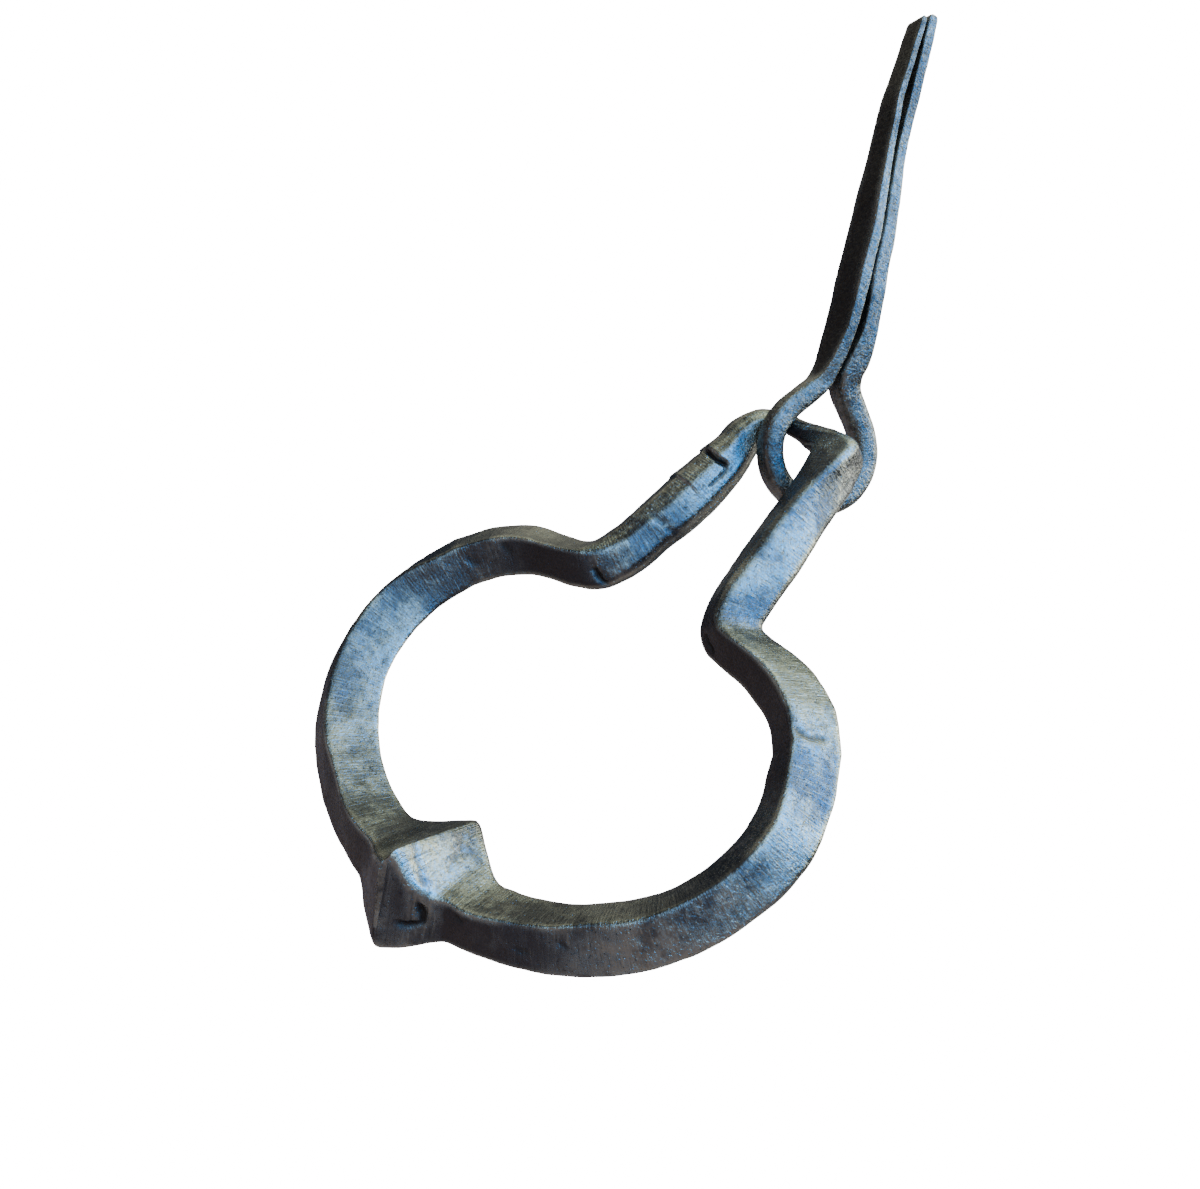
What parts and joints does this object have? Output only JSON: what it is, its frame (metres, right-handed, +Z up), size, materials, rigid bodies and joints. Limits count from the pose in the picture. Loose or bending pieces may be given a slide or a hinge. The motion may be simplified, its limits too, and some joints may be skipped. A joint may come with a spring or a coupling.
{
  "type": "ring door knocker",
  "caption": "Hand-forged wrought-iron ring knocker: an omega-shaped ring with a diamond striking boss, hung by its crossbar in the eye of a split pin.",
  "frame": {"origin": "on the pin's own axis where its two legs come together above the eye, which is the point at the face of the door", "axes": "+Z up with the ring hanging plumb; +X along the ring's crossbar; -Y is the front, towards which the pin leans"},
  "size_m": [0.1112, 0.0539, 0.2153],
  "materials": {
    "ring_iron": "forged and filed iron with a worn dark patina, satin",
    "pin_iron": "forged iron, dark brown on the flats and worn grey on the edges"
  },
  "bodies": {
    "pin": {"split_pin": "pin_iron"},
    "ring": {"knocker_ring": "ring_iron"}
  },
  "joints": [
    {"name": "ring_swing", "type": "hinge", "parent": "pin", "child": "ring", "pos_m": [0.00047, 0.00415, -0.01373], "axis": [1, 0, 0], "range_deg": [-150, 10]}
  ]
}
